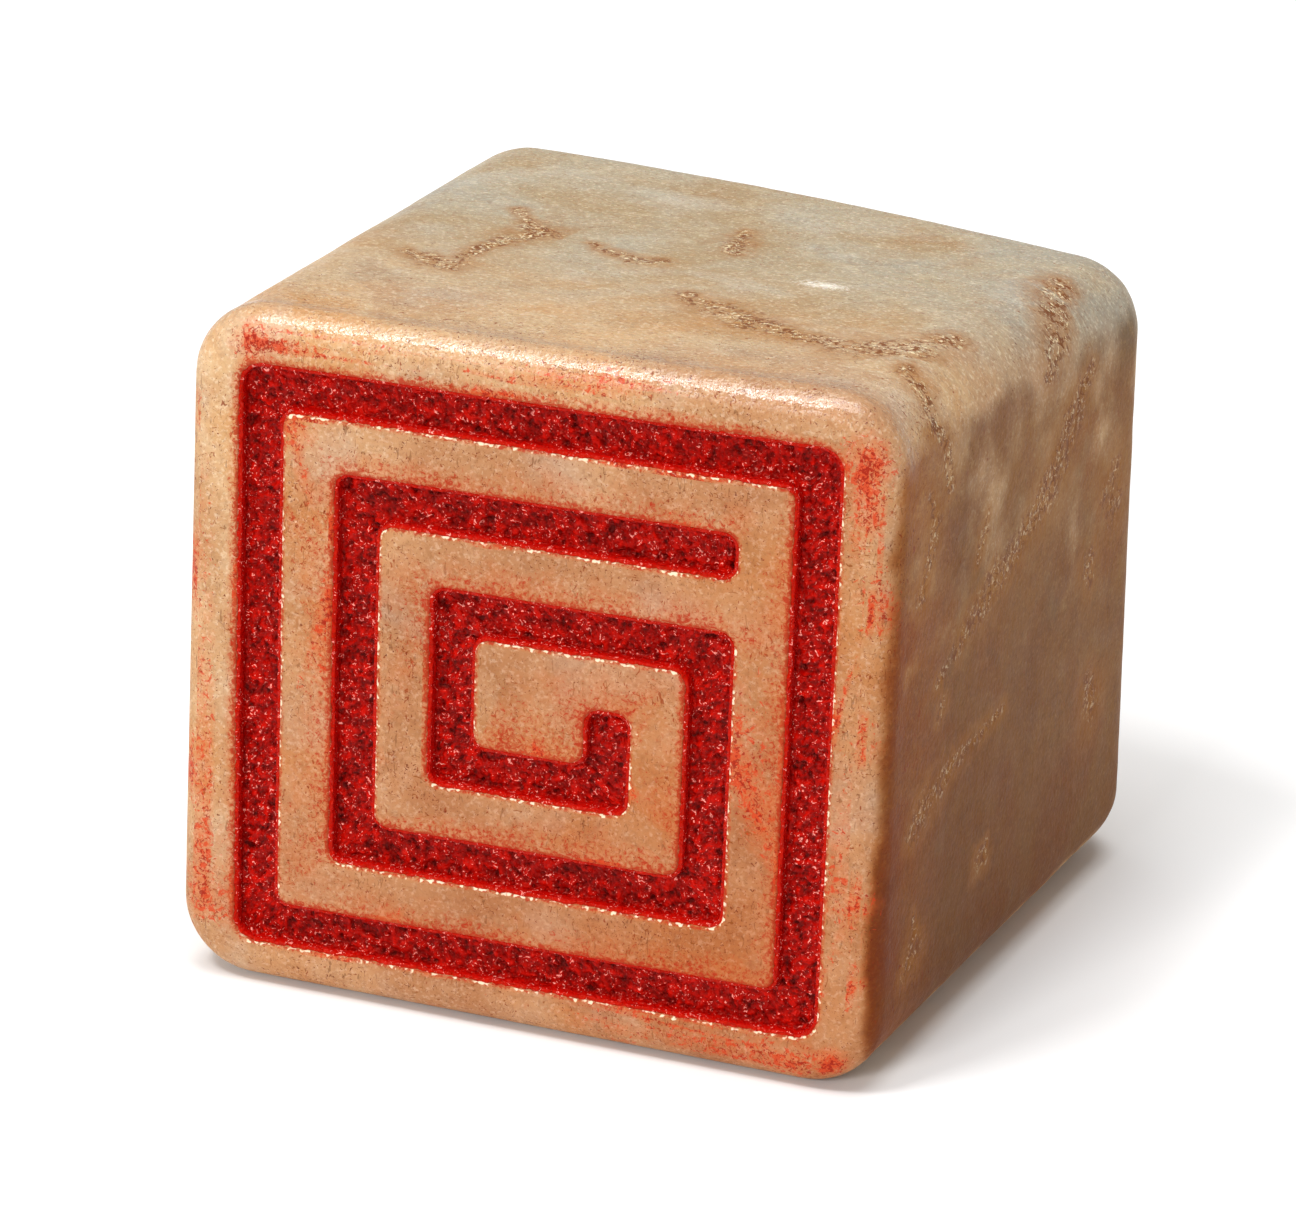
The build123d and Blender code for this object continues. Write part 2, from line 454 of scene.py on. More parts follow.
def soapstone():
    """Soapstone, hand-rubbed and waxed: cream with greyish and tan clouds, rusty veins and fine dark specks.

    The eye sees a soft, slightly see-through stone with a satin skin that sparkles a little along its rims.
    The face also carries a wash of seal paste, which is strongest beside the grooves. The real crystals are
    0.02 to 0.05 mm, too fine to show, so they are drawn 0.15 to 0.34 mm across.
    """
    material = bpy.data.materials.new("soapstone_hand_rubbed_waxed")
    material.use_nodes = True
    tree = material.node_tree
    tree.nodes.clear()
    place = add(tree, "ShaderNodeTexCoord").outputs["Object"]
    place = add(tree, "ShaderNodeVectorMath", {0: place, "Scale": 1 / mm}, operation="SCALE")

    # Clouds 7 mm across, in a palette for the whole stone and a greyer one that comes in towards its top
    clouds = add(
        tree, "ShaderNodeTexNoise", {"Vector": place, "Scale": 1 / 7.0, "Detail": 3.0, "Distortion": 0.5}
    )
    uneven = add(tree, "ShaderNodeTexNoise", {"Vector": place, "Scale": 1 / 2.6, "Detail": 3.0})
    body, top = (
        add(
            tree, "ShaderNodeValToRGB", {"Fac": clouds},
            stops=[(0.38, linear(low)), (0.62, linear(high)), (0.5, linear(middle))],
        )
        for low, middle, high in (("#bd9166", "#cba478", "#c6935f"), ("#a09785", "#ab9c82", "#a68e6b"))
    )
    level = add(tree, "ShaderNodeVectorMath", {0: place, 1: (0.0, 0.25, 1.0)}, operation="DOT_PRODUCT")
    level = add(tree, "ShaderNodeMath", {0: uneven, 1: 2.0, 2: level}, operation="MULTIPLY_ADD")
    near_top = add(
        tree, "ShaderNodeMapRange", {"Value": level, "From Min": 21.2, "From Max": 24.6},
        interpolation_type="SMOOTHSTEP",
    )
    colour = add(
        tree, "ShaderNodeMix", {"Factor_Float": near_top, "A_Color": body, "B_Color": top}, data_type="RGBA"
    )

    # Layers of the stone, by the size of their lumps in millimetres: tan clouds, pale clouds, then the grain
    for size, detail, twist, start, end, most, code in (
        (3.4, 4.0, 0.8, 0.55, 0.74, 0.35, "#98652f"),
        (4.6, 3.0, 0.4, 0.55, 0.70, 0.35, "#c4beb0"),
        (1.0, 4.0, 0.3, 0.52, 0.72, 0.25, "#e0cdab"),
        (0.34, 3.0, 0.8, 0.50, 0.68, 0.22, "#84542c"),
        (0.15, 2.0, 0.3, 0.52, 0.70, 0.35, "#f2e2c6"),
        (0.17, 3.0, 0.8, 0.54, 0.70, 0.25, "#7a4a26"),
    ):
        lumps = add(
            tree, "ShaderNodeTexNoise",
            {"Vector": place, "Scale": 1 / size, "Detail": detail, "Distortion": twist, "Roughness": 0.6},
        )
        share = add(
            tree, "ShaderNodeMapRange", {"Value": lumps, "From Min": start, "From Max": end, "To Max": most}
        )
        colour = add(
            tree, "ShaderNodeMix", {"Factor_Float": share, "A_Color": colour, "B_Color": linear(code)},
            data_type="RGBA",
        )

    # A pale crystal spot on top
    spot = add(tree, "ShaderNodeVectorMath", {0: place, 1: pale_spot}, operation="SUBTRACT")
    spot = add(tree, "ShaderNodeVectorMath", {0: spot, 1: (1.0, 2.4, 0.5)}, operation="MULTIPLY")
    spot = add(tree, "ShaderNodeVectorMath", {0: spot}, operation="LENGTH")
    spot = add(tree, "ShaderNodeMath", {0: lumps, 1: 3.0, 2: spot}, operation="MULTIPLY_ADD")
    spot = add(tree, "ShaderNodeMapRange", {"Value": spot, "From Min": 2.6, "From Max": 1.6, "To Max": 0.8})
    colour = add(
        tree, "ShaderNodeMix", {"Factor_Float": spot, "A_Color": colour, "B_Color": linear("#f6efe2")},
        data_type="RGBA",
    )

    # The right side is darker and browner: partly browner stone and partly painted shade for the side turned
    # away from the lights. It is less dark and more ochre towards its front, and darker low down, which is
    # painted shade near the floor. Paste oil has soaked into the face, most inside the border and towards
    # the lower right.
    axes = add(tree, "ShaderNodeSeparateXYZ", {0: place})
    along, height = axes.outputs["Y"], axes.outputs["Z"]
    right_side = add(
        tree, "ShaderNodeVectorMath", {0: place, 1: (1.0, -right_slope, 0.0)}, operation="DOT_PRODUCT"
    )
    right_side = add(tree, "ShaderNodeMath", {0: uneven, 1: 0.8, 2: right_side}, operation="MULTIPLY_ADD")
    right_side = add(
        tree, "ShaderNodeMapRange", {"Value": right_side, "From Min": 12.6, "From Max": 13.0},
        interpolation_type="SMOOTHSTEP",
    )
    low_front = add(tree, "ShaderNodeVectorMath", {0: place, 1: (0.0, 0.6, 1.0)}, operation="DOT_PRODUCT")
    tones = []
    for measure, start, end, least in (
        (along, front + 1.5, front + 6.0, 0.7), (along, front + 6.0, front + 1.5, 0.0),
        (low_front, 18.0, -2.0, 0.0),
    ):
        share = add(
            tree, "ShaderNodeMapRange",
            {"Value": measure, "From Min": start, "From Max": end, "To Min": least},
        )
        tones.append(add(tree, "ShaderNodeMath", {0: share, 1: right_side}, operation="MULTIPLY"))
    brown_and_painted_shade, ochre, painted_low_shade = tones
    on_front = add(
        tree, "ShaderNodeMapRange", {"Value": along, "From Min": front + 2.6, "From Max": front + 0.3}
    )
    inside = add(tree, "ShaderNodeVectorMath", {0: place, 1: tuple(carving_middle)}, operation="SUBTRACT")
    inside = add(tree, "ShaderNodeVectorMath", {0: inside}, operation="ABSOLUTE")
    inside = add(tree, "ShaderNodeSeparateXYZ", {0: inside})
    inside = add(
        tree, "ShaderNodeMath", {0: inside.outputs["X"], 1: inside.outputs["Z"]}, operation="MAXIMUM"
    )
    inside = add(
        tree, "ShaderNodeMapRange",
        {"Value": inside, "From Min": 11.0, "From Max": 10.2, "To Min": 0.46, "To Max": 0.75},
    )
    soaked = add(tree, "ShaderNodeVectorMath", {0: place, 1: (0.018, 0.0, -0.02)}, operation="DOT_PRODUCT")
    soaked = add(tree, "ShaderNodeMath", {0: soaked, 1: inside}, operation="ADD")
    soaked = add(tree, "ShaderNodeMath", {0: uneven, 1: 0.5, 2: soaked}, operation="MULTIPLY_ADD")
    soaked = add(tree, "ShaderNodeMath", {0: soaked, 1: on_front}, operation="MULTIPLY", use_clamp=True)
    # Multiplied in: the right side's darkening, partly painted shade, its ochre front, and the soaked paste
    # oil
    for share, code in ((brown_and_painted_shade, "#b4976c"), (ochre, "#ffd488"), (painted_low_shade, "#ccb890"), (soaked, "#d8b09c")):
        colour = add(
            tree, "ShaderNodeMix", {"Factor_Float": share, "A_Color": colour, "B_Color": linear(code)},
            data_type="RGBA", blend_type="MULTIPLY",
        )

    # Veins: a wide ochre stain, rusty strokes 0.3 mm wide where it is strongest, and cream grains between
    # them, partly cream mineral and partly a painted highlight on the grains, fewer on the right side
    vein = add(tree, "ShaderNodeAttribute", attribute_name="vein").outputs["Fac"]
    crooked = add(
        tree, "ShaderNodeTexNoise",
        {"Vector": place, "Scale": 1 / 0.9, "Detail": 5.0, "Roughness": 0.65, "Distortion": 0.3},
    )
    ragged = add(tree, "ShaderNodeMath", {0: crooked, 1: 5.0, 2: vein}, operation="MULTIPLY_ADD")
    for start, end, size, low, high, most, on_right, code in (
        (7.4, 3.2, 1.6, 0.3, 0.5, 0.55, 1.0, "#a06624"),
        (5.0, 3.0, 0.28, 0.50, 0.56, 0.9, 1.0, "#763e12"),
        (4.5, 3.0, 0.19, 0.56, 0.62, 0.85, 0.45, "#f6e2b8"),
    ):
        near = add(
            tree, "ShaderNodeMapRange",
            {"Value": ragged, "From Min": start, "From Max": end, "To Max": most},
            interpolation_type="SMOOTHSTEP",
        )
        broken = add(
            tree, "ShaderNodeTexNoise",
            {"Vector": place, "Scale": 1 / size, "Detail": 3.0, "Roughness": 0.6, "Distortion": 0.8},
        )
        broken = add(tree, "ShaderNodeMapRange", {"Value": broken, "From Min": low, "From Max": high})
        share_on_right = add(tree, "ShaderNodeMapRange", {"Value": right_side, "To Min": 1.0, "To Max": on_right})
        strokes = add(tree, "ShaderNodeMath", {0: near, 1: broken}, operation="MULTIPLY")
        strokes = add(tree, "ShaderNodeMath", {0: strokes, 1: share_on_right}, operation="MULTIPLY")
        colour = add(
            tree, "ShaderNodeMix", {"Factor_Float": strokes, "A_Color": colour, "B_Color": linear(code)},
            data_type="RGBA",
        )

    # Specks and short strokes of iron oxide, 0.05 to 0.3 mm, thickest near the face and in loose swarms
    crowd = add(
        tree, "ShaderNodeMapRange",
        {"Value": along, "From Min": front + 7.0, "From Max": front + 0.5,
         "To Min": -0.02, "To Max": 0.025},
    )
    crowd = add(tree, "ShaderNodeMath", {0: uneven, 1: 0.16, 2: crowd}, operation="MULTIPLY_ADD")
    for stretch, size, start, most, code in (
        ((1.0, 1.0, 0.3), 0.13, 0.785, 0.5, "#6a3810"),
        ((1.0, 1.0, 0.5), 0.15, 0.81, 0.8, "#822e04"),
        ((0.5, 0.7, 1.0), 0.13, 0.81, 0.8, "#84400e"),
        ((1.0, 1.0, 1.0), 0.09, 0.79, 0.9, "#661c00"),
    ):
        drawn = add(tree, "ShaderNodeVectorMath", {0: place, 1: stretch}, operation="MULTIPLY")
        specks = add(
            tree, "ShaderNodeTexNoise",
            {"Vector": drawn, "Scale": 1 / size, "Detail": 1.0, "Distortion": 1.2},
        )
        specks = add(tree, "ShaderNodeMath", {0: specks, 1: crowd}, operation="ADD")
        share = add(
            tree, "ShaderNodeMapRange",
            {"Value": specks, "From Min": start, "From Max": start + 0.03, "To Max": most},
        )
        colour = add(
            tree, "ShaderNodeMix", {"Factor_Float": share, "A_Color": colour, "B_Color": linear(code)},
            data_type="RGBA",
        )

    # Paste left on the face. Each layer starts from the distance to a groove's mouth or a smudge, is made
    # ragged by lumps of a size, and fades in between its start and its end.
    rim = add(tree, "ShaderNodeAttribute", attribute_name="rim").outputs["Fac"]
    rim_breadth = add(tree, "ShaderNodeAttribute", attribute_name="rim_breadth").outputs["Fac"]
    smudge = add(tree, "ShaderNodeAttribute", attribute_name="smudge").outputs["Fac"]
    for gap, size, push, start, end, most, code in (
        (rim, 1.4, 3.0, 3.6, 1.5, 0.5, "#c05a20"),
        (rim, 0.15, 6.0, 4.2, 3.3, 0.85, "#a82404"),
        (smudge, 0.7, 3.0, 3.8, 1.8, 0.65, "#cc5c2a"),
        (smudge, 0.24, 8.0, 5.3, 4.7, 0.8, "#c43a14"),
        (smudge, 0.13, 10.0, 5.7, 5.3, 0.85, "#921402"),
    ):
        lumps = add(
            tree, "ShaderNodeTexNoise",
            {"Vector": place, "Scale": 1 / size, "Detail": 3.0, "Roughness": 0.65, "Distortion": 0.8},
        )
        lumps = add(tree, "ShaderNodeMath", {0: lumps, 1: push, 2: gap}, operation="MULTIPLY_ADD")
        share = add(
            tree, "ShaderNodeMapRange", {"Value": lumps, "From Min": start, "From Max": end, "To Max": most}
        )
        share = add(tree, "ShaderNodeMath", {0: share, 1: on_front}, operation="MULTIPLY")
        colour = add(
            tree, "ShaderNodeMix", {"Factor_Float": share, "A_Color": colour, "B_Color": linear(code)},
            data_type="RGBA",
        )

    # Below and to the right of a groove its rim carries a painted highlight: a pale dashed line 0.1 mm wide.
    rim_gap = add(tree, "ShaderNodeMath", {0: rim, 1: rim_breadth}, operation="MULTIPLY")
    dashes = add(tree, "ShaderNodeTexNoise", {"Vector": place, "Scale": 1 / 0.18, "Detail": 1.0})
    rim_gap = add(tree, "ShaderNodeMath", {0: dashes, 1: 0.5, 2: rim_gap}, operation="MULTIPLY_ADD")
    crest_highlight = add(
        tree, "ShaderNodeMapRange", {"Value": rim_gap, "From Min": 0.3, "From Max": 0.25, "To Max": 0.9}
    )
    highlit_side = add(
        tree, "ShaderNodeMapRange",
        {"Value": rim_breadth, "From Min": smear_least + 0.45 * smear_more,
         "From Max": smear_least + 0.3 * smear_more},
    )
    crest_highlight = add(tree, "ShaderNodeMath", {0: crest_highlight, 1: highlit_side}, operation="MULTIPLY")
    colour = add(
        tree, "ShaderNodeMix", {"Factor_Float": crest_highlight, "A_Color": colour, "B_Color": linear("#f6dcbc")},
        data_type="RGBA",
    )

    # The abrasive's scratches are 0.03 mm apart, too fine to show, so they are drawn 0.2 mm apart, with a
    # finer grain between them, both under the wax. The cream grains of the veins stand a little proud.
    relief = 0.0
    for stretch, size, share in (((0.6, 1.0, 1.0), 0.22, 0.6), ((1.0, 1.0, 0.7), 0.12, 0.4)):
        drawn = add(tree, "ShaderNodeVectorMath", {0: place, 1: stretch}, operation="MULTIPLY")
        lumps = add(tree, "ShaderNodeTexNoise", {"Vector": drawn, "Scale": 1 / size, "Detail": 2.0})
        relief = add(tree, "ShaderNodeMath", {0: lumps, 1: share, 2: relief}, operation="MULTIPLY_ADD")
    relief = add(tree, "ShaderNodeMath", {0: strokes, 1: 0.35, 2: relief}, operation="MULTIPLY_ADD")
    bump = add(tree, "ShaderNodeBump", {"Height": relief, "Strength": 1.0, "Distance": 0.055 * mm})

    # A glossier wax lies on the top, and most on the top rim of the face, which handling has polished.
    polished = 1.0
    level = add(tree, "ShaderNodeMath", {0: along, 1: top_slope, 2: height}, operation="MULTIPLY_ADD")
    for measure, start, end, least in (
        (along, front + 0.08, front + 0.3, 0.0), (along, front + 2.0, front + 1.2, 0.25),
        (level, 20.5, 22.5, 0.0),
    ):
        share = add(
            tree, "ShaderNodeMapRange",
            {"Value": measure, "From Min": start, "From Max": end, "To Min": least},
        )
        polished = add(tree, "ShaderNodeMath", {0: share, 1: polished}, operation="MULTIPLY")
    rough = add(
        tree, "ShaderNodeMapRange",
        {"Value": crooked, "From Min": 0.3, "From Max": 0.7, "To Min": 0.5, "To Max": 0.65},
    )
    shader = add(
        tree, "ShaderNodeBsdfPrincipled",
        {"Base Color": colour, "Roughness": rough, "Normal": bump, "IOR": 1.5, "Specular IOR Level": 0.12,
         "Subsurface Weight": 0.25, "Subsurface Radius": (1.0, 0.5, 0.25), "Subsurface Scale": 0.5 * mm,
         "Coat Weight": polished, "Coat Roughness": 0.22, "Coat IOR": 1.6, "Coat Normal": bump},
    )
    add(tree, "ShaderNodeOutputMaterial", {"Surface": shader})
    return material


# The skin's mesh: its spacing, and the most triangles that it may have
skin_size = 0.105
most_triangles = 194000

stone = merged_copy("stone_block", "carved_stone")
marks = {"Veins": laid_veins(stone), "Smudges": laid_smudges(stone), "Rims": rim_lines()}
skin = stone.modifiers.new("Even skin", "REMESH")
skin.mode = "VOXEL"
skin.voxel_size = skin_size
skin.use_smooth_shade = True
grow(stone, rubbed_stone_tree(), {
    **marks, "Material": soapstone(), "Front": front, "Land Depth": 0.03,
    "Wave Size": 6.0, "Wave Height": 0.07, "Dent Size": 0.8, "Dent Height": 0.03,
    "Grain Size": 0.42, "Grain Height": 0.09, "Pit Spacing": 2.1, "Pit Depth": 0.07, "Seed": 7.0,
})
made = stone.evaluated_get(bpy.context.evaluated_depsgraph_get()).data
triangles = sum(len(face.vertices) - 2 for face in made.polygons)
if triangles > most_triangles:
    thinned = stone.modifiers.new("Thinned", "DECIMATE")
    thinned.ratio = most_triangles / triangles
settle(stone)
for drawn in marks.values():
    bpy.data.objects.remove(drawn)
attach(stone, "root")
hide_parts("stone_block")

# Paste in the border groove
# Oil-bound red seal paste, dried to a hard gloss in the square border groove. It lines the chiselled floor
# and the walls, and its ragged upper edge stops at the rim, where the worn stone shows.

# The coat's thickness on floor and walls, the depth of its upper edge, and the gap from a wall's foot to the
# first row of points of the floor
paste_floor = 0.12
paste_wall = 0.08
lip_depth = 0.09
foot_gap = 0.04
floor_columns = 19


def coat_section():
    """Inset from the groove's mouth, depth in the face and share of lip, from the floor up and over."""
    floor_depth = groove_depth - paste_floor
    foot = paste_wall + floor_depth * groove_slope
    wall_low, wall_high = floor_depth - 0.075, lip_depth + 0.04
    wall_steps = 7

    # Two points round the foot of the wall. After the wall, five round the lip and tuck it into the stone.
    section = [(foot + 0.045, floor_depth - 0.006, 0.0), (foot + 0.012, floor_depth - 0.03, 0.05)]
    for step in range(wall_steps):
        depth = wall_low + (wall_high - wall_low) * step / (wall_steps - 1)
        section.append((paste_wall + depth * groove_slope, depth, 0.1 + 0.6 * step / wall_steps))
    return section + [
        (paste_wall * 0.9, lip_depth + 0.035, 1.0), (paste_wall * 0.5, lip_depth + 0.01, 1.0),
        (0.0, lip_depth, 1.0), (-0.05, lip_depth + 0.03, 0.7), (-0.07, lip_depth + 0.11, 0.2),
        (groove_depth * groove_slope, groove_depth, 0.0),
    ]


def paste_coat(name, sides, closed):
    """The coat in one groove: rows for its floor, a strip round it for walls and lip, and a plain back."""
    left, right = sides
    rows, columns = len(left), floor_columns
    section = coat_section()
    floor_inset = section[0][0] + foot_gap

    grid = np.arange(rows * columns).reshape(rows, columns)
    if closed:
        loops = [(grid[:, 0], left, np.arange(rows)), (grid[::-1, -1], right[::-1], np.arange(rows)[::-1])]
    else:
        shares = np.linspace(0, 1, columns)[1:-1, None]
        far_end = left[-1] + (right[-1] - left[-1]) * shares
        near_end = right[0] + (left[0] - right[0]) * shares
        numbers = np.concatenate([grid[:, 0], grid[-1, 1:-1], grid[::-1, -1], grid[0, -2:0:-1]])
        rims = np.concatenate([left, far_end, right[::-1], near_end])
        inner = columns - 2
        stations = np.concatenate([
            np.arange(rows), np.full(inner, rows - 1), np.arange(rows)[::-1], np.zeros(inner, int)
        ])
        loops = [(numbers, rims, stations)]

    # The floor's rows run between the feet of the two walls.
    feet = np.zeros((rows * columns, 2))
    inwards = []
    for numbers, rims, _ in loops:
        travel = np.roll(rims, -1, axis=0) - np.roll(rims, 1, axis=0)
        inward = np.stack([travel[:, 1], -travel[:, 0]], axis=-1) / np.linalg.norm(travel, axis=1)[:, None]
        feet[numbers] = rims + inward * floor_inset
        inwards.append(inward)
    feet = feet.reshape(rows, columns, 2)
    across = np.linspace(0, 1, columns)[None, :, None]
    floor = feet[:, :1] * (1 - across) + feet[:, -1:] * across
    floor_depth = groove_depth - paste_floor
    points = [on_face(floor.reshape(-1, 2), floor_depth)]
    lip, ground = [np.zeros(rows * columns)], [np.ones(rows * columns)]
    faces = []

    ahead = np.roll(grid, -1, axis=0) if closed else grid[1:]
    here = grid if closed else grid[:-1]
    quads = np.stack([here[:, :-1], here[:, 1:], ahead[:, 1:], ahead[:, :-1]], axis=-1)
    faces += quads.reshape(-1, 4).tolist()

    # The back closes on one row of points under the middle of the groove.
    count = rows * columns
    centres = count + np.arange(rows)
    points.append(on_face((left + right) / 2, groove_depth))
    lip.append(np.zeros(rows))
    ground.append(np.zeros(rows))
    count += rows
    for (numbers, rims, stations), inward in zip(loops, inwards):
        below = numbers
        for inset, depth, share in section:
            ring = count + np.arange(len(rims))
            points.append(on_face(rims + inward * inset, depth))
            lip.append(np.full(len(rims), share))
            ground.append(np.zeros(len(rims)))
            strip = np.stack([below, np.roll(below, -1), np.roll(ring, -1), ring], axis=-1)
            faces += strip.tolist()
            below = ring
            count += len(rims)
        last = centres[stations]
        back = np.stack([below, np.roll(below, -1), np.roll(last, -1), last], axis=-1)
        faces += [quad if quad[2] != quad[3] else quad[:3] for quad in back.tolist()]

    piece = new_piece(name, np.concatenate(points), faces=faces)
    set_numbers(piece, "lip", np.concatenate(lip))
    set_numbers(piece, "ground", np.concatenate(ground))
    return piece


def chiselled_paste_tree():
    """Breaks the floor of a coat into chisel marks, and makes its walls and its upper edge uneven."""
    tree, given, result = geometry_tree(
        "Chiselled paste",
        {
            "Mark Size": "Float", "Mark Depth": "Float", "Chip Size": "Float", "Chip Depth": "Float",
            "Edge Size": "Float", "Edge Height": "Float", "Swell": "Float", "Seed": "Float",
            "Material": "Material",
        },
    )
    place = add(tree, "GeometryNodeInputPosition")
    moved = add(tree, "ShaderNodeVectorMath", {0: place, 1: given["Seed"]}, operation="ADD")
    ground = add(tree, "GeometryNodeInputNamedAttribute", {"Name": "ground"}, data_type="FLOAT").outputs[0]
    lip = add(tree, "GeometryNodeInputNamedAttribute", {"Name": "lip"}, data_type="FLOAT").outputs[0]

    height = 0.0
    for size, depth, detail in (("Mark Size", "Mark Depth", 2.0), ("Chip Size", "Chip Depth", 1.0)):
        scale = add(tree, "ShaderNodeMath", {0: 1.0, 1: given[size]}, operation="DIVIDE")
        lumps = add(
            tree, "ShaderNodeTexNoise",
            {"Vector": moved, "Scale": scale, "Detail": detail, "Distortion": 0.6},
        )
        marks = add(tree, "ShaderNodeMapRange", {"Value": lumps, "From Min": 0.27, "From Max": 0.73})
        height = add(
            tree, "ShaderNodeMath", {0: marks, 1: given[depth], 2: height}, operation="MULTIPLY_ADD"
        )
    depths = add(tree, "ShaderNodeMath", {0: given["Mark Depth"], 1: given["Chip Depth"]}, operation="ADD")
    height_share = add(tree, "ShaderNodeMath", {0: height, 1: depths}, operation="DIVIDE")
    sunk = add(tree, "ShaderNodeMath", {0: depths, 1: 0.5}, operation="MULTIPLY")
    sunk = add(tree, "ShaderNodeMath", {0: sunk, 1: height}, operation="SUBTRACT")
    sunk = add(tree, "ShaderNodeMath", {0: sunk, 1: ground}, operation="MULTIPLY")
    offset = add(tree, "ShaderNodeCombineXYZ", {"Y": sunk})

    # A vector noise swells the walls, a stronger one breaks the upper edge, and the back stays where it is.
    wall = add(tree, "ShaderNodeMapRange", {"Value": lip, "From Max": 0.1})
    for size, height, share, lean in (
        ("Chip Size", "Swell", wall, (1.0, 0.0, 1.0)), ("Edge Size", "Edge Height", lip, (0.6, 1.0, 0.6)),
    ):
        scale = add(tree, "ShaderNodeMath", {0: 1.0, 1: given[size]}, operation="DIVIDE")
        lumps = add(tree, "ShaderNodeTexNoise", {"Vector": moved, "Scale": scale, "Detail": 1.0})
        lumps = lumps.outputs["Color"]
        push = add(tree, "ShaderNodeVectorMath", {0: lumps, 1: (0.5, 0.5, 0.5)}, operation="SUBTRACT")
        push = add(tree, "ShaderNodeVectorMath", {0: push, 1: lean}, operation="MULTIPLY")
        push = add(tree, "ShaderNodeVectorMath", {0: push, "Scale": given[height]}, operation="SCALE")
        push = add(tree, "ShaderNodeVectorMath", {0: push, "Scale": share}, operation="SCALE")
        offset = add(tree, "ShaderNodeVectorMath", {0: offset, 1: push}, operation="ADD")

    geometry = add(
        tree, "GeometryNodeStoreNamedAttribute",
        {"Geometry": given["Geometry"], "Name": "height", "Value": height_share},
        data_type="FLOAT", domain="POINT",
    )
    geometry = add(tree, "GeometryNodeSetPosition", {"Geometry": geometry, "Offset": offset})
    geometry = add(tree, "GeometryNodeSetShadeSmooth", {"Geometry": geometry})
    geometry = add(tree, "GeometryNodeRealizeInstances", {0: geometry})
    geometry = add(tree, "GeometryNodeSetMaterial", {"Geometry": geometry, "Material": given["Material"]})
    tree.links.new(geometry.outputs[0], result[0])
    return tree


def dried_seal_paste():
    """Cinnabar-red seal paste, bound in oil and dried hard.

    The eye sees crimson where it is deep and orange-red where it is thin, under a wet-looking gloss that
    breaks into many small glints on the chisel marks.
    """
    material = bpy.data.materials.new("seal_paste_dried_gloss")
    material.use_nodes = True
    tree = material.node_tree
    tree.nodes.clear()
    place = add(tree, "ShaderNodeTexCoord").outputs["Object"]
    place = add(tree, "ShaderNodeVectorMath", {0: place, "Scale": 1 / mm}, operation="SCALE")
    height = add(tree, "ShaderNodeAttribute", attribute_name="height").outputs["Fac"]
    lip = add(tree, "ShaderNodeAttribute", attribute_name="lip").outputs["Fac"]
    # The colour follows the chisel marks' height: painted shade darkens their hollows, and their crests are
    # lighter.
    colour = add(
        tree, "ShaderNodeValToRGB", {"Fac": height},
        stops=[(0.2, linear("#460000")), (0.8, linear("#c00c02")), (0.5, linear("#8e0200"))],
    )
    for start, end, code in ((0.0, 0.4, "#b40802"), (0.6, 1.0, "#b01404")):
        share = add(tree, "ShaderNodeMapRange", {"Value": lip, "From Min": start, "From Max": end})
        colour = add(
            tree, "ShaderNodeMix", {"Factor_Float": share, "A_Color": colour, "B_Color": linear(code)},
            data_type="RGBA",
        )

    # Glints on the wet crests, too fine to show as light, so they are drawn as pale flecks 0.15 mm wide
    flecks = add(
        tree, "ShaderNodeTexNoise", {"Vector": place, "Scale": 1 / 0.15, "Detail": 1.0, "Distortion": 1.5}
    )
    flecks = add(tree, "ShaderNodeMapRange", {"Value": flecks, "From Min": 0.65, "From Max": 0.7})
    crests = add(
        tree, "ShaderNodeMapRange", {"Value": height, "From Min": 0.35, "From Max": 0.6, "To Max": 0.95}
    )
    flecks = add(tree, "ShaderNodeMath", {0: flecks, 1: crests}, operation="MULTIPLY")
    colour = add(
        tree, "ShaderNodeMix", {"Factor_Float": flecks, "A_Color": colour, "B_Color": linear("#ffa294")},
        data_type="RGBA",
    )

    # Grains of pigment are 0.01 mm across, too fine to show, so they are drawn as crumbs 0.2 mm across.
    grit = add(
        tree, "ShaderNodeTexNoise", {"Vector": place, "Scale": 1 / 0.2, "Detail": 1.0, "Distortion": 1.0}
    )
    bump = add(tree, "ShaderNodeBump", {"Height": grit, "Strength": 1.0, "Distance": 0.13 * mm})
    patches = add(tree, "ShaderNodeTexNoise", {"Vector": place, "Scale": 1 / 0.6, "Detail": 3.0})
    rough = add(
        tree, "ShaderNodeMapRange",
        {"Value": patches, "From Min": 0.3, "From Max": 0.7, "To Min": 0.06, "To Max": 0.16},
    )
    shader = add(
        tree, "ShaderNodeBsdfPrincipled",
        {"Base Color": colour, "Roughness": rough, "Normal": bump, "IOR": 1.5, "Specular IOR Level": 0.3,
         "Specular Tint": linear("#ff7868")},
    )
    add(tree, "ShaderNodeOutputMaterial", {"Surface": shader})
    return material


paste_marks = chiselled_paste_tree()
paste_relief = {
    "Mark Size": 0.34, "Mark Depth": 0.12, "Chip Size": 0.15, "Chip Depth": 0.08,
    "Edge Size": 0.2, "Edge Height": 0.25, "Swell": 0.03, "Material": dried_seal_paste(),
}

border_coat = paste_coat("border_paste_coat", border_sides, True)
grow(border_coat, paste_marks, {**paste_relief, "Seed": 3.0})
settle(border_coat)
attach(border_coat, "root")
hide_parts("border_paste")

# Paste in the fret groove
# The same paste in the square spiral. A clean land keeps it apart from the border's coat, so it is a piece
# of its own, with rounded ends where the groove starts and stops.

fret_coat = paste_coat("fret_paste_coat", fret_sides, False)
grow(fret_coat, paste_marks, {**paste_relief, "Seed": 11.0})
settle(fret_coat)
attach(fret_coat, "root")
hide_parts("fret_paste")

# Studio
# A plain white floor under a soft key light high on the left, a low one near the front and a wide one
# overhead, seen from the photograph's view.

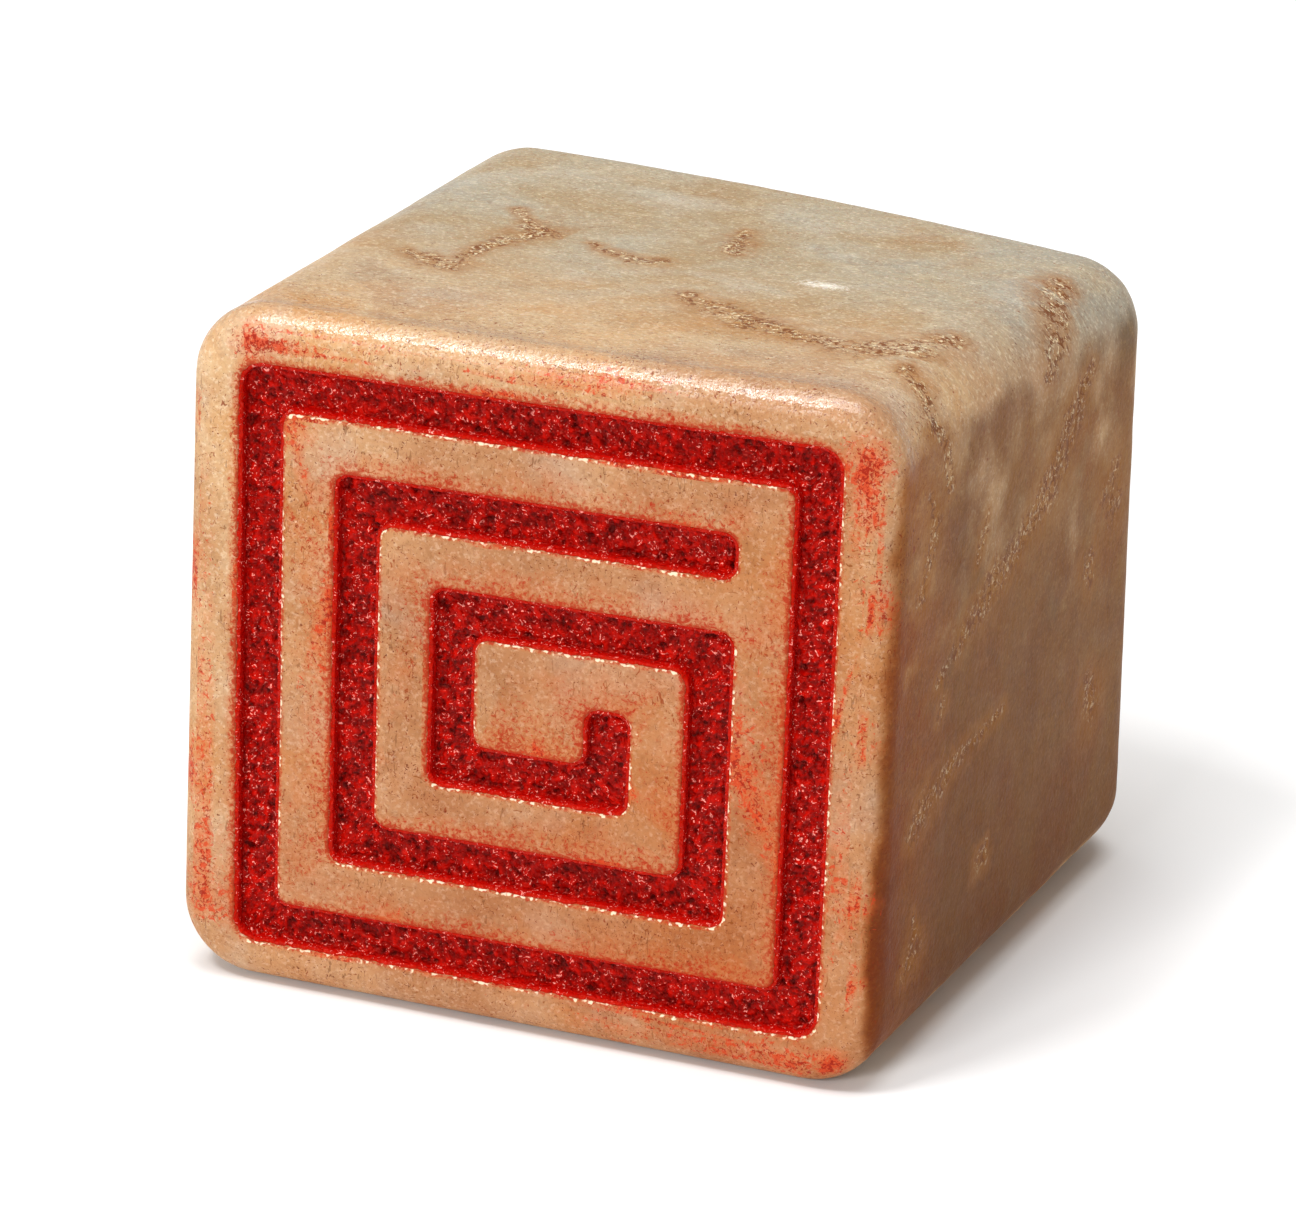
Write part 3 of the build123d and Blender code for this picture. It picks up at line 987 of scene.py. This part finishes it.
# Half the side of the floor, in metres, as are the lights' distances and sizes
floor_half = 3.0
floor = new_piece(
    "studio_floor",
    [(-floor_half, -floor_half, 0), (floor_half, -floor_half, 0), (floor_half, floor_half, 0),
     (-floor_half, floor_half, 0)],
    faces=[(0, 1, 2, 3)],
)
paper = bpy.data.materials.new("studio_paper_matt")
paper.use_nodes = True
paper.node_tree.nodes.clear()
add(paper.node_tree, "ShaderNodeOutputMaterial", {
    "Surface": add(paper.node_tree, "ShaderNodeBsdfDiffuse", {"Color": linear("#f4f4f4")})
})
floor.data.materials.append(paper)


def soft_light(name, azimuth, elevation, distance, size, power):
    """A square soft light that looks at the stone from a direction, in the camera's sense of azimuth."""
    azimuth, elevation = radians(azimuth), radians(elevation)
    back = Vector((sin(azimuth) * cos(elevation), -cos(azimuth) * cos(elevation), sin(elevation)))
    light = bpy.data.lights.new(name, "AREA")
    light.size = size
    light.energy = power
    holder = bpy.data.objects.new(name, light)
    turned = back.to_track_quat("Z", "Y").to_matrix().to_4x4()
    holder.matrix_world = Matrix.Translation(back * distance) @ turned
    bpy.context.scene.collection.objects.link(holder)


soft_light("key_light", azimuth=-38, elevation=62, distance=1.2, size=0.22, power=5.1)
soft_light("front_light", azimuth=-12, elevation=24, distance=1.2, size=0.3, power=7.3)
soft_light("top_light", azimuth=0, elevation=86, distance=1.3, size=0.8, power=11.4)

world = bpy.data.worlds.new("studio_white")
world.use_nodes = True
world.node_tree.nodes.clear()
add(world.node_tree, "ShaderNodeOutputWorld", {
    "Surface": add(world.node_tree, "ShaderNodeBackground", {"Color": (1, 1, 1, 1), "Strength": 0.3})
})
bpy.context.scene.world = world
bpy.context.scene.view_settings.view_transform = "Standard"

# The camera stands where the photograph was taken from, with its distance and aim in millimetres, and its
# lens gives the photograph's field of view.
view_azimuth = radians(17.865)
view_elevation = radians(21.843)
view_roll = radians(2.907)
view_distance = 198.1125
view_aim = Vector((2.0212, -12.4127, 15.3272))
photo_width = 1296
focal_pixels = 6000

back = Vector((
    sin(view_azimuth) * cos(view_elevation), -cos(view_azimuth) * cos(view_elevation), sin(view_elevation)
))
across = Vector((0, 0, 1)).cross(back).normalized()
upright = back.cross(across)
turned_across = across * cos(view_roll) + upright * sin(view_roll)
turned_up = upright * cos(view_roll) - across * sin(view_roll)
lens = bpy.data.cameras.new("photo_view")
lens.sensor_width = 36
lens.lens = focal_pixels / photo_width * lens.sensor_width
lens.clip_start = 0.01
camera = bpy.data.objects.new("photo_view", lens)
turn = Matrix((turned_across, turned_up, back)).transposed().to_4x4()
camera.matrix_world = Matrix.Translation((view_aim + back * view_distance) * mm) @ turn
bpy.context.scene.collection.objects.link(camera)
bpy.context.scene.camera = camera
